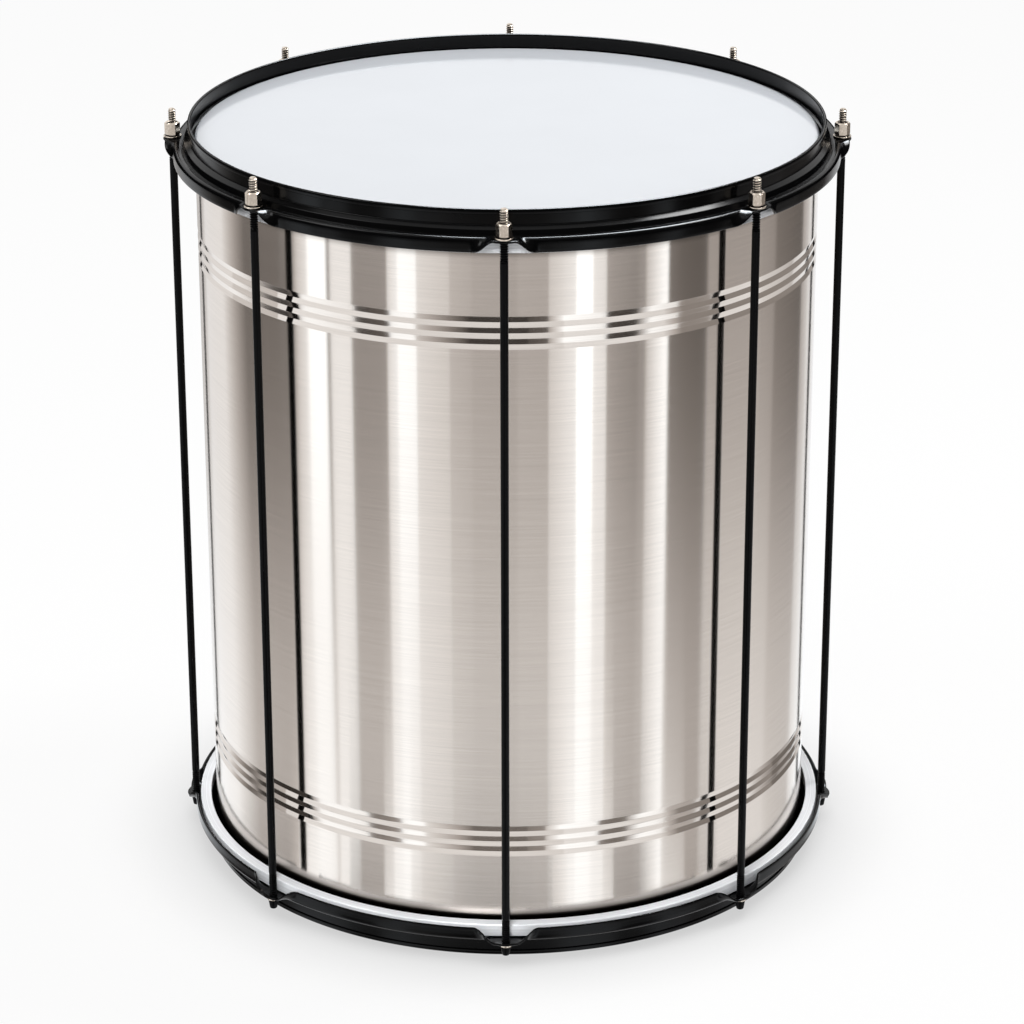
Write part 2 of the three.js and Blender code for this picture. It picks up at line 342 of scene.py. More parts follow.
def add_object(name, data):
    made = bpy.data.objects.new(name, data)
    bpy.context.scene.collection.objects.link(made)
    return made


def add_piece(name, vertices, faces, body, material, slot, node):
    """A smooth piece that rides on a body, with its finish and the node it replaces."""
    mesh = bpy.data.meshes.new(name)
    mesh.from_pydata([tuple(v) for v in vertices], [], faces)
    tidy = bmesh.new()
    tidy.from_mesh(mesh)
    bmesh.ops.remove_doubles(tidy, verts=tidy.verts, dist=WELD)
    bmesh.ops.dissolve_degenerate(tidy, edges=tidy.edges, dist=SLIVER)
    bmesh.ops.recalc_face_normals(tidy, faces=tidy.faces)
    tidy.to_mesh(mesh)
    tidy.free()
    mesh.shade_smooth()
    mesh.set_sharp_from_angle(angle=SHARP_EDGE)
    mesh.materials.append(material)
    piece = add_object(name, mesh)
    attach(piece, body)
    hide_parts(node)
    return piece


def add_both_ends(name, vertices, faces, material, slot, node):
    """A piece of the upper head, and its twin at the foot of the drum."""
    return [
        add_piece(f"{end}_{name}", points, faces, body, material, slot, f"{end}_{node}")
        for end, body, points in (
            ("top", HEAD_BODY, vertices),
            ("bottom", DRUM_BODY, upside_down(vertices)),
        )
    ]


def ring_faces(rings, points):
    """Quads between neighbouring rings of points, the last joined to the first."""
    faces = []
    for ring in range(rings):
        here, there = ring * points, (ring + 1) % rings * points
        for point in range(points):
            after = (point + 1) % points
            faces.append((here + point, here + after, there + after, there + point))
    return faces


def turned(outline, steps, centre=(0, 0)):
    """Vertices and faces of a closed outline turned round an upright axis."""
    vertices = []
    for step in range(steps):
        angle = 2 * math.pi * step / steps
        vertices += [on_circle(radius, angle, z, centre) for radius, z in outline]
    return vertices, ring_faces(steps, len(outline))


def upside_down(vertices):
    """The lower end of the drum is the upper end turned over about the X axis."""
    return [(x, -y, RIM_HEIGHT - z) for x, y, z in vertices]


def rod_angle(number):
    return math.radians(-90) + 2 * math.pi * (number - 1) / RODS


def rod_place(number):
    return on_circle(rod_circle(), rod_angle(number), 0)[:2]


def skirt_middle():
    return sizes().shell_radius + FLESH_GAP + FLESH_WIDTH + SKIRT_CLEARANCE + SHEET / 2


def rod_circle():
    return skirt_middle() + ROD_STEP


# Finishes

NOISE_MIDDLE = (0.3, 0.7)  # where nearly all of a noise lies
UPRIGHT = (0, 0, 1)
LEVEL = (1, 1, 0)
ROUND_THE_DRUM = {"direction_type": "RADIAL", "axis": "Z"}


def add_node(tree, kind, settings=None, links=None):
    """A shader node with its settings, and its inputs set to values or sockets."""
    node = tree.nodes.new(kind)
    for key, value in (settings or {}).items():
        setattr(node, key, value)
    for key, value in (links or {}).items():
        if isinstance(value, bpy.types.NodeSocket):
            tree.links.new(value, node.inputs[key])
        else:
            node.inputs[key].default_value = value
    return node


def new_finish(name):
    material = bpy.data.materials.new(name)
    material.use_nodes = True
    material.node_tree.nodes.clear()
    return material, material.node_tree


def graded(tree, value, span, below, above, change="LINEAR"):
    """One colour where the value is below the span and another where it is above."""
    share = add_node(
        tree,
        "ShaderNodeMapRange",
        {"interpolation_type": change},
        {"Value": value, "From Min": span[0], "From Max": span[1]},
    )
    mix = add_node(
        tree,
        "ShaderNodeMix",
        {"data_type": "RGBA"},
        {"Factor": share.outputs["Result"], "A": below, "B": above},
    )
    return mix.outputs["Result"]


def varied(tree, colour, pattern, share):
    """The colour, darkened and lightened by a share as the pattern rises."""
    darker = tuple(c * (1 - share) for c in colour[:3]) + (1,)
    lighter = tuple(min(1, c * (1 + share)) for c in colour[:3]) + (1,)
    return graded(tree, pattern, NOISE_MIDDLE, darker, lighter)


def noise(tree, spacing, detail=2.0, roughness=0.5):
    """Noise whose grains are spacing (millimetres along x, y and z) apart."""
    place = add_node(tree, "ShaderNodeTexCoord").outputs["Object"]
    mapped = add_node(
        tree,
        "ShaderNodeMapping",
        links={"Vector": place, "Scale": tuple(1 / (s * MM) for s in spacing)},
    )
    return add_node(
        tree,
        "ShaderNodeTexNoise",
        links={
            "Vector": mapped.outputs["Vector"],
            "Scale": 1.0,
            "Detail": detail,
            "Roughness": roughness,
        },
    ).outputs["Fac"]


def away(tree, directions, start=(0, 0, 0)):
    """How far a point is from the start, along the directions marked with 1."""
    place = add_node(tree, "ShaderNodeTexCoord").outputs["Object"]
    part = add_node(
        tree,
        "ShaderNodeVectorMath",
        {"operation": "MULTIPLY_ADD"},
        {0: place, 1: directions, 2: tuple(-s for s in start)},
    )
    length = add_node(
        tree,
        "ShaderNodeVectorMath",
        {"operation": "LENGTH"},
        {0: part.outputs["Vector"]},
    )
    return length.outputs["Value"]


def add_surface(tree, links, rough, relief, span=NOISE_MIDDLE):
    """A shader, and the output that shows it. Its roughness runs from low to high as a
    pattern crosses the span, and its relief follows a pattern to a depth."""
    pattern, low, high = rough
    roughness = add_node(
        tree,
        "ShaderNodeMapRange",
        links={
            "Value": pattern,
            "From Min": span[0],
            "From Max": span[1],
            "To Min": low,
            "To Max": high,
        },
    )
    height, depth = relief
    normal = add_node(tree, "ShaderNodeBump", links={"Height": height, "Distance": depth})
    shader = add_node(
        tree,
        "ShaderNodeBsdfPrincipled",
        links={
            "Roughness": roughness.outputs["Result"],
            "Normal": normal.outputs["Normal"],
            **links,
        },
    )
    add_node(tree, "ShaderNodeOutputMaterial", links={"Surface": shader.outputs["BSDF"]})


def brushed_stainless():
    """Stainless sheet brushed round the drum: mirrored things keep their upright edges
    and smear up and down, under fine level lines. Towards both of its ends, where the
    flesh hoops crowd it, its colour fades into painted shade, which stands in for the
    shadow and the dark reflection of the hoops and of the gap."""
    material, tree = new_finish("Brushed stainless steel")
    # The brush lines are drawn 0.9 mm apart, coarser than real, so that they show.
    fine = noise(tree, (70, 70, 0.9), detail=3.0, roughness=0.6)
    unshaded = varied(tree, colours().steel, fine, share=0.04)
    # Painted shade: the colour darkens towards both ends of the shell, in place of the
    # shadow and the dark reflection of the flesh hoops and the gap.
    middle = RIM_HEIGHT / 2
    end = middle - FLESH_DEPTH - FLESH_HEIGHT + SHADE_EDGE
    height = away(tree, UPRIGHT, (0, 0, middle))
    fade = (end - SHADE_FADE, end)
    colour = graded(tree, height, fade, unshaded, colours().painted_shade, "SMOOTHSTEP")
    tangent = add_node(tree, "ShaderNodeTangent", ROUND_THE_DRUM)
    links = {
        "Base Color": colour,
        "Metallic": 1.0,
        "Anisotropic": 1.0,
        "Anisotropic Rotation": 0.25,
        "Tangent": tangent.outputs["Tangent"],
    }
    # The rollers that pressed the grooves have polished them.
    wall = sizes().shell_radius
    polished = (wall - 0.3 * MM, wall - 0.05 * MM)
    rough = (away(tree, LEVEL), 0.08, 0.11)
    add_surface(tree, links, rough, relief=(fine, 0.004 * MM), span=polished)
    return material


def polyester_film():
    """Opaque white polyester film: a smooth cool white with a soft sheen. Its collar is
    painted dark and given almost no gloss: painted shade for the deep gap between the
    shell and the flesh hoop."""
    material, tree = new_finish("White polyester film")
    cloud = noise(tree, (90, 90, 90), detail=3.0)
    # The grain is drawn 0.9 mm apart, coarser than real, so that it shows.
    grain = noise(tree, (0.9, 0.9, 0.9))
    radius = away(tree, LEVEL)
    start = sizes().shell_radius + COLLAR_START
    end = start + COLLAR_FADE
    white = varied(tree, colours().film, cloud, share=0.012)
    gloss = add_node(
        tree,
        "ShaderNodeMapRange",
        links={
            "Value": radius,
            "From Min": start,
            "From Max": end,
            "To Min": 0.5,
            "To Max": 0.02,
        },
    )
    # Painted shade: past the edge of the shell the film turns dark and all but loses its
    # gloss, in place of the shadow in the gap by the flesh hoop.
    links = {
        "Base Color": graded(tree, radius, (start, end), white, colours().collar_shade),
        "IOR": 1.75,
        "Specular IOR Level": gloss.outputs["Result"],
    }
    add_surface(tree, links, rough=(grain, 0.1, 0.13), relief=(grain, 0.002 * MM))
    return material


def brushed_aluminium():
    """Extruded aluminium brushed along the hoop: bright, with long fine lines, under a
    clear oxide skin that scatters some of the light."""
    material, tree = new_finish("Brushed aluminium")
    lines_at = add_node(
        tree,
        "ShaderNodeCombineXYZ",
        links={"X": away(tree, LEVEL), "Y": away(tree, UPRIGHT)},
    )
    # The brush lines are drawn 1.1 mm apart, coarser than real, so that they show.
    lines = add_node(
        tree,
        "ShaderNodeTexNoise",
        {"noise_dimensions": "2D"},
        {"Vector": lines_at.outputs["Vector"], "Scale": 1 / (1.1 * MM), "Detail": 2.0},
    ).outputs["Fac"]
    along = noise(tree, (30, 30, 30))
    tangent = add_node(tree, "ShaderNodeTangent", ROUND_THE_DRUM)
    links = {
        "Base Color": varied(tree, colours().aluminium, lines, share=0.10),
        "Metallic": 0.3,
        "Anisotropic": 0.7,
        "Anisotropic Rotation": 0.25,
        "Tangent": tangent.outputs["Tangent"],
    }
    add_surface(tree, links, rough=(along, 0.3, 0.38), relief=(lines, 0.01 * MM))
    return material


def powder_coat():
    """Semi-gloss black powder coat on pressed steel: deep black with soft highlights
    that the faint orange peel of the coat breaks up."""
    material, tree = new_finish("Black powder coat")
    peel = noise(tree, (3.5, 3.5, 3.5), detail=1.0)
    dust = noise(tree, (35, 35, 35), detail=3.0)
    links = {
        "Base Color": varied(tree, colours().powder_coat, dust, share=0.2),
        "Specular IOR Level": 0.15,
    }
    add_surface(tree, links, rough=(dust, 0.14, 0.18), relief=(peel, 0.004 * MM))
    return material


def rod_enamel():
    """Black enamel on steel rod: satin, with one soft upright highlight."""
    material, tree = new_finish("Black rod enamel")
    specks = noise(tree, (3, 3, 9), detail=3.0)
    links = {
        "Base Color": varied(tree, colours().rod_enamel, specks, share=0.3),
        "Specular IOR Level": 0.08,
    }
    add_surface(tree, links, rough=(specks, 0.26, 0.34), relief=(specks, 0.004 * MM))
    return material


def nickel_plate():
    """Bright nickel plate on steel: a warm metal, polished but for faint marks of
    handling, with painted shade in the roots of the threads, in the nuts' mouths and
    wherever else the plate is crowded."""
    material, tree = new_finish("Nickel plate")
    marks = noise(tree, (1.6, 1.6, 1.6), detail=3.0)
    # Painted shade: where ambient occlusion finds the plate crowded, its colour turns
    # dark.
    openness = add_node(
        tree, "ShaderNodeAmbientOcclusion", {"samples": 16}, {"Distance": 1.6 * MM}
    )
    unshaded = varied(tree, colours().nickel, marks, share=0.08)
    crowded = (0.7, 0.97)
    colour = graded(tree, openness.outputs["AO"], crowded, colours().painted_shade, unshaded)
    links = {"Base Color": colour, "Metallic": 1.0}
    add_surface(tree, links, rough=(marks, 0.22, 0.28), relief=(marks, 0.002 * MM))
    return material


def finish(name, maker):
    """The named material, made the first time that it is asked for."""
    return bpy.data.materials.get(name) or maker()


# Shell


def wall_line(radius, depth):
    """The shell's wall from foot to top, with its two bands of grooves."""
    band = GROOVES * GROOVE_PITCH
    length = SHELL_TOP - SHELL_FOOT
    line = []
    for foot in (GROOVE_INSET, length - GROOVE_INSET - band):
        for groove in range(GROOVES):
            start = SHELL_FOOT + foot + groove * GROOVE_PITCH
            line.append((radius, start))
            line.append((radius - depth, start + GROOVE_LEAN * GROOVE_PITCH))
        line.append((radius, start + GROOVE_PITCH))
    return line


def shell_outline():
    outer = sizes().shell_radius
    depth = sizes().groove_depth
    inner = outer - SHELL_WALL
    bead = outer - BEAD_RADIUS
    neck = BEAD_RADIUS + math.sqrt(BEAD_RADIUS**2 - (BEAD_RADIUS - SHELL_WALL) ** 2)
    walls = []
    for radius, turn in ((outer, 1), (inner, -1)):
        line = wall_line(radius, depth)[::turn]
        ends = [(radius, SHELL_FOOT + neck), (radius, SHELL_TOP - neck)][::turn]
        points = [ends[0], *line, ends[1]]
        bends = [GROOVE_BEND] * len(points)
        wall = eased(points, bends, closed=False, steps=GROOVE_STEPS)
        walls.append(held(wall, HOLD))
    top, foot = (
        arc((bead, height), BEAD_RADIUS, start, start + math.pi, BEAD_STEPS)
        for height, start in (
            (SHELL_TOP - BEAD_RADIUS, 0),
            (SHELL_FOOT + BEAD_RADIUS, math.pi),
        )
    )
    return [*walls[0], *top, *walls[1], *foot]


class SURDO_OT_shell(Operator):
    """Builds the brushed steel shell with its beads and grooves"""

    bl_idname = "surdo.shell"
    bl_label = "Shell"

    def execute(self, context):
        mesh = turned(shell_outline(), sizes().round_steps)
        material = finish("Brushed stainless steel", brushed_stainless)
        add_piece("shell_steel", *mesh, DRUM_BODY, material, "shell_steel", "shell")
        return {"FINISHED"}


# Heads


def film_outline():
    """The film's upper and lower faces, from the middle over the bead to its tail."""
    radius = sizes().shell_radius
    bead = (radius - BEAD_RADIUS, SHELL_TOP - BEAD_RADIUS)
    collar = radius + FLESH_GAP + COLLAR_INSET
    slot = RIM_HEIGHT - FLESH_DEPTH
    tail = slot - COLLAR_GRIP
    faces = []
    for size, knee in (
        (BEAD_RADIUS + SEAT_GAP + FILM_THICKNESS, (collar + FILM_THICKNESS, slot)),
        (BEAD_RADIUS + SEAT_GAP, (collar, slot)),
    ):
        across, down = knee[0] - bead[0], knee[1] - bead[1]
        touch = math.atan2(down, across) + math.acos(size / math.hypot(across, down))
        over = arc(bead, size, math.pi / 2, touch, BEAD_STEPS)
        rings = [(bead[0] * share, over[0][1]) for share in FILM_RINGS]
        faces.append([*rings, *over, knee, (knee[0], tail)])
    upper, lower = faces
    return [*lower, *upper[::-1]]


class SURDO_OT_films(Operator):
    """Builds the two head films with their collars"""

    bl_idname = "surdo.films"
    bl_label = "Head films"

    def execute(self, context):
        mesh = turned(film_outline(), sizes().round_steps)
        material = finish("White polyester film", polyester_film)
        add_both_ends("film", *mesh, material, "head_film", "head_film")
        return {"FINISHED"}


def flesh_outline():
    """The flesh hoop's section, with the slot in its upper end that grips the film."""
    inner = sizes().shell_radius + FLESH_GAP
    outer = inner + FLESH_WIDTH
    top = RIM_HEIGHT - FLESH_DEPTH
    foot = top - FLESH_HEIGHT
    slot_inner = inner + COLLAR_INSET - SEAT_GAP
    slot_outer = slot_inner + FILM_THICKNESS + 2 * SEAT_GAP
    slot_foot = top - COLLAR_GRIP - SEAT_GAP
    points = [
        (inner, foot),
        (outer, foot),
        (outer, top),
        (slot_outer, top),
        (slot_outer, slot_foot),
        (slot_inner, slot_foot),
        (slot_inner, top),
        (inner, top),
    ]
    edges = [FLESH_EDGE] * 3 + [0, 0, 0, 0] + [FLESH_EDGE]
    return eased(points, edges, steps=EDGE_STEPS)


class SURDO_OT_flesh_hoops(Operator):
    """Builds the two aluminium flesh hoops"""

    bl_idname = "surdo.flesh_hoops"
    bl_label = "Flesh hoops"

    def execute(self, context):
        mesh = turned(flesh_outline(), sizes().round_steps)
        material = finish("Brushed aluminium", brushed_aluminium)
        add_both_ends("flesh_ring", *mesh, material, "flesh_aluminium", "flesh_hoop")
        return {"FINISHED"}


# Counterhoops


def hoop_line():
    """The middle of the hoop's sheet from the hem to the start of the skirt's bend."""
    wall = sizes().shell_radius + RIM_GAP + SHEET
    bend = skirt_middle() - SKIRT_BEND
    crest = bend - CREST_WIDTH
    trough = crest - TROUGH_RUN
    ledge = trough - LEDGE_RUN
    over = [
        (wall, -HEM_HEIGHT),
        (wall, -WALL_DEPTH),
        (ledge, -LEDGE_DEPTH),
        (trough, -TROUGH_DEPTH),
        (crest, -CREST_DEPTH),
        (bend, -CREST_DEPTH),
    ]
    return offset_line(over, -SHEET / 2)


def hoop_section(turn, sheet_length, line):
    """The closed outline of the hoop's sheet, where its skirt turns down by an angle
    and has a given length along the sheet beyond the crest."""
    bends = (0, FOOT_BEND, LEDGE_BEND, TROUGH_BEND, CREST_BEND, 0)
    rounded = eased(line, bends, closed=False, steps=HOOP_BEND_STEPS)
    middle = [np.array(p) for p in held(rounded, HOLD)]
    lefts = []
    for i in range(len(middle)):
        along = middle[min(i + 1, len(middle) - 1)] - middle[max(i - 1, 0)]
        along /= np.linalg.norm(along)
        lefts.append(np.array((-along[1], along[0])))
    up = np.array((0.0, 1.0))
    lefts[-1] = up
    start = middle[-1]
    for step in range(1, SKIRT_STEPS + 1):
        angle = turn * step / SKIRT_STEPS
        lefts.append(np.array((math.sin(angle), math.cos(angle))))
        middle.append(start + SKIRT_BEND * (lefts[-1] - up))
    knee = middle[-1]
    leg = sheet_length - SKIRT_BEND * turn - SHEET / 2
    direction = np.array((math.cos(turn), -math.sin(turn)))
    for share in SKIRT_SHARES:
        middle.append(knee + direction * leg * share)
        lefts.append(lefts[-1])
    half = SHEET / 2
    over = [tuple(m + left * half) for m, left in zip(middle, lefts)]
    under = [tuple(m - left * half) for m, left in zip(middle, lefts)]
    tip = middle[-1]
    edge_angle = math.pi / 2 - turn
    edge = arc(tip, half, edge_angle - math.pi, edge_angle)[1:-1]
    inner = sizes().shell_radius + RIM_GAP
    hem = inner + HEM_WIDTH
    lip = HEM_WIDTH / 2
    hem_foot = eased(
        [(inner + SHEET, -HEM_HEIGHT), (hem, -HEM_HEIGHT), (hem, -lip)],
        (0, HEM_EDGE, 0),
        closed=False,
        steps=EDGE_STEPS,
    )
    round_top = arc((inner + lip, -lip), lip, 0, math.pi, HEM_STEPS)
    return [*under, *edge, *over[::-1], *hem_foot[1:-1], *round_top]


def hoop_stations():
    """Distances along the rod circle from one ear to the next, with the skirt's turn
    and length at each."""
    pitch = 2 * math.pi * rod_circle() / RODS
    full_turn = math.pi / 2
    hanging = SKIRT_LENGTH - SHEET / 2 - SKIRT_BEND + SKIRT_BEND * full_turn
    reach = rod_circle() + EAR_REACH - (skirt_middle() - SKIRT_BEND)
    lost = EAR_REACH * EAR_CORNER_SHARE
    places = np.concatenate(
        [
            np.linspace(0, EAR_FLAT / 2, EAR_STEPS)[:-1],
            np.linspace(EAR_FLAT / 2, EAR_NOTCH / 2, FLANK_STEPS)[:-1],
            np.linspace(EAR_NOTCH / 2, pitch / 2, PLAIN_STEPS),
        ]
    )
    stations = []
    for at in places:
        if at <= EAR_FLAT / 2:
            share = at / (EAR_FLAT / 2)
            stations.append((at, 0.0, reach - lost * share**2))
            continue
        share = min(1, (at - EAR_FLAT / 2) / ((EAR_NOTCH - EAR_FLAT) / 2))
        turn = share * share * (3 - 2 * share)
        length = reach - lost + (hanging - reach + lost) * turn
        stations.append((at, full_turn * turn, length))
    back = [(pitch - at, turn, length) for at, turn, length in stations[1:-1][::-1]]
    return stations + back


def hoop_mesh():
    """The upper hoop's sheet, swept round the drum from station to station."""
    line = hoop_line()
    vertices = []
    stations = hoop_stations()
    sections = [hoop_section(turn, length, line) for _, turn, length in stations]
    for number in range(1, RODS + 1):
        for (at, _, _), section in zip(stations, sections):
            angle = rod_angle(number) + at / rod_circle()
            vertices += [on_circle(r, angle, RIM_HEIGHT + z) for r, z in section]
    return vertices, ring_faces(RODS * len(stations), len(sections[0]))


def cut(piece, cutter, operation):
    """Replaces the piece's mesh by its difference or intersection with a cutter."""
    mesh = bpy.data.meshes.new("cutter")
    cutter.to_mesh(mesh)
    cutter.free()
    tool = add_object("cutter", mesh)
    modifier = piece.modifiers.new("Cut", "BOOLEAN")
    modifier.operation = operation
    modifier.solver = "EXACT"
    modifier.object = tool
    bpy.context.view_layer.update()
    graph = bpy.context.evaluated_depsgraph_get()
    made = bpy.data.meshes.new_from_object(piece.evaluated_get(graph))
    piece.modifiers.remove(modifier)
    old = piece.data
    piece.data = made
    made.set_sharp_from_angle(angle=SHARP_EDGE)
    bpy.data.meshes.remove(old)
    bpy.data.objects.remove(tool)
    bpy.data.meshes.remove(mesh)


def drill_ears(piece, height):
    """Cuts the eight rod holes through the ears of a hoop."""
    drill = bmesh.new()
    radius = ROD_RADIUS + EAR_HOLE_CLEARANCE
    for number in range(1, RODS + 1):
        bmesh.ops.create_cone(
            drill,
            cap_ends=True,
            segments=ROUND_ROD,
            radius1=radius,
            radius2=radius,
            depth=4 * SHEET,
            matrix=Matrix.Translation((*rod_place(number), height)),
        )
    cut(piece, drill, "DIFFERENCE")


class SURDO_OT_hoops(Operator):
    """Builds the two black counterhoops with their ears"""

    bl_idname = "surdo.hoops"
    bl_label = "Counterhoops"

    def execute(self, context):
        material = finish("Black powder coat", powder_coat)
        hoops = add_both_ends("counterhoop", *hoop_mesh(), material, "hoop_paint", "hoop")
        ear = CREST_DEPTH + SHEET / 2
        for piece, height in zip(hoops, (RIM_HEIGHT - ear, ear)):
            drill_ears(piece, height)
        return {"FINISHED"}


# Rods and their fittings


def helix(centre, foot, top):
    """A threaded length of rod. The thread starts over its first turn, and its top is
    rounded off."""
    depth = sizes().thread_depth
    steps = ROUND_ROD
    turns = int((top - foot) / THREAD_PITCH) + 2
    vertices = []
    for turn in range(-1, turns):
        for share, sunk in HELIX_MARKS:
            for step in range(steps):
                angle = 2 * math.pi * step / steps
                height = foot + (turn + share + step / steps) * THREAD_PITCH
                inside = min(max(height, foot), top)
                started = min(1, (inside - foot) / THREAD_PITCH)
                radius = ROD_RADIUS - depth * sunk * started
                if inside > top - TIP_EASE:
                    fall = (inside - (top - TIP_EASE)) / TIP_EASE
                    lost = depth * TIP_WEAR + TIP_EASE * (1 - math.sqrt(1 - fall**2))
                    radius = min(radius, ROD_RADIUS - lost)
                vertices.append(on_circle(radius, angle, inside, centre))
    rows = len(vertices) // steps
    faces = []
    for row in range(rows - 1):
        for step in range(steps):
            after = (step + 1) % steps
            # One turn on, the thread has climbed by all of its marks.
            near = row + (len(HELIX_MARKS) if after == 0 else 0)
            if near + 1 < rows:
                here, there = row * steps + step, near * steps + after
                faces.append((here, there, there + steps, here + steps))
    faces.append(tuple(range(steps)))
    faces.append(tuple(range((rows - 1) * steps, rows * steps)))
    return vertices, faces


def thread_line(foot, top, fade_foot=0.0):
    """The crests and roots of a thread drawn as rings."""
    depth = sizes().thread_depth
    line = []
    for ring in range(int((top - foot) / THREAD_PITCH)):
        base = foot + ring * THREAD_PITCH
        worn = min(1, (base - foot) / fade_foot) if fade_foot else 1
        for share, sunk in RING_MARKS:
            line.append((ROD_RADIUS - depth * worn * sunk, base + share * THREAD_PITCH))
    return line


def shank_outline():
    """The painted rod from its forged head up to the bare thread."""
    head_top = HEAD_WASHER_FOOT - SEAT_GAP
    split = TIP_HEIGHT - BARE_THREAD
    upper = TIP_HEIGHT - UPPER_THREAD
    lower = head_top + LOWER_THREAD
    head = [
        (0, ROD_FOOT),
        (HEAD_FOOT_RADIUS, ROD_FOOT),
        (HEAD_TOP_RADIUS, head_top),
        (ROD_RADIUS, head_top),
    ]
    return [
        *eased(head, (0, HEAD_FOOT_EASE, HEAD_TOP_EASE, 0), closed=False),
        *thread_line(head_top, lower),
        (ROD_RADIUS, lower),
        (ROD_RADIUS, upper),
        *thread_line(upper, split, THREAD_FADE),
        (ROD_RADIUS - sizes().thread_depth, split),
        (0, split),
    ]


class SURDO_OT_rods(Operator):
    """Builds the eight black tie rods and their bare nickel threads"""

    bl_idname = "surdo.rods"
    bl_label = "Tie rods"

    def execute(self, context):
        enamel = finish("Black rod enamel", rod_enamel)
        nickel = finish("Nickel plate", nickel_plate)
        outline = shank_outline()
        for number in range(1, RODS + 1):
            centre = rod_place(number)
            node = f"tie_rod_{number}"
            shank = turned(outline, ROUND_ROD, centre)
            add_piece(f"rod_shank_{number}", *shank, DRUM_BODY, enamel, "rod_paint", node)
            tip = helix(centre, TIP_HEIGHT - BARE_THREAD, TIP_HEIGHT)
            add_piece(f"rod_thread_{number}", *tip, DRUM_BODY, nickel, "nickel", node)
        return {"FINISHED"}


def nut_outline():
    """A turned blank for a nut, as wide as its corners, with its chamfered ends and its
    bore."""
    flat = sizes().nut_across / 2
    corner = flat / math.cos(math.pi / NUT_SIDES)
    end = flat - NUT_FACE_EASE
    mouth = NUT_BORE + NUT_MOUTH
    return [
        (mouth, NUT_FOOT),
        (end, NUT_FOOT),
        (corner, NUT_FOOT + NUT_CHAMFER),
        (corner, NUT_TOP - NUT_CHAMFER),
        (end, NUT_TOP),
        (mouth, NUT_TOP),
        (NUT_BORE, NUT_TOP - NUT_MOUTH),
        (NUT_BORE, NUT_FOOT + NUT_MOUTH),
    ]


def hexagon(centre):
    """A six-sided prism with slightly rounded corners and one flat facing -Y."""
    flat = sizes().nut_across / 2
    corner = flat / math.cos(math.pi / NUT_SIDES)
    points = [
        (corner * math.cos(a), corner * math.sin(a))
        for a in (2 * math.pi * side / NUT_SIDES for side in range(NUT_SIDES))
    ]
    ring = eased(points, [NUT_CORNER] * NUT_SIDES, steps=NUT_CORNER_STEPS)
    prism = bmesh.new()
    low, high = (
        [prism.verts.new((centre[0] + x, centre[1] + y, height)) for x, y in ring]
        for height in (NUT_FOOT - NUT_CHAMFER, NUT_TOP + NUT_CHAMFER)
    )
    prism.faces.new(low[::-1])
    prism.faces.new(high)
    for i in range(len(ring)):
        after = (i + 1) % len(ring)
        prism.faces.new((low[i], low[after], high[after], high[i]))
    return prism


def washer_outline(radius, foot, top):
    points = [(WASHER_BORE, foot), (radius, foot), (radius, top), (WASHER_BORE, top)]
    return eased(points, [WASHER_EDGE] * 4, steps=EDGE_STEPS)


class SURDO_OT_fittings(Operator):
    """Builds the nuts, the washers under them and the collars over the rods' heads"""

    bl_idname = "surdo.fittings"
    bl_label = "Nuts and washers"

    def execute(self, context):
        nickel = finish("Nickel plate", nickel_plate)
        nut = nut_outline()
        washer = washer_outline(NUT_WASHER_RADIUS, NUT_WASHER_FOOT, NUT_WASHER_TOP)
        collar = washer_outline(HEAD_WASHER_RADIUS, HEAD_WASHER_FOOT, HEAD_WASHER_TOP)
        for number in range(1, RODS + 1):
            centre = rod_place(number)
            for name, outline, body, node in (
                (f"nut_{number}", nut, f"nut_{number}", "tension_nut"),
                (f"flat_washer_{number}", washer, HEAD_BODY, "nut_washer"),
                (f"head_collar_{number}", collar, DRUM_BODY, "rod_head_washer"),
            ):
                mesh = turned(outline, ROUND_NUT, centre)
                piece = add_piece(name, *mesh, body, nickel, "nickel", f"{node}_{number}")
                if outline is nut:
                    cut(piece, hexagon(centre), "INTERSECT")
        return {"FINISHED"}


# Studio

WHITE = (1, 1, 1, 1)
AMBIENT = 0.42
FLOOR_SIZE = 40
FLOOR_GLOW = 0.9
# The glow the eye sees where things crowd the floor: a painted shadow
FLOOR_GLOW_CROWDED = 0.6
FLOOR_REACH = 0.1  # how near a thing crowds the floor
FLOOR_CROWDED, FLOOR_OPEN = 0.35, 1.0  # how open it is under the drum and far off
FLOOR_SHADE = (0.12, 0.12, 0.12, 1)

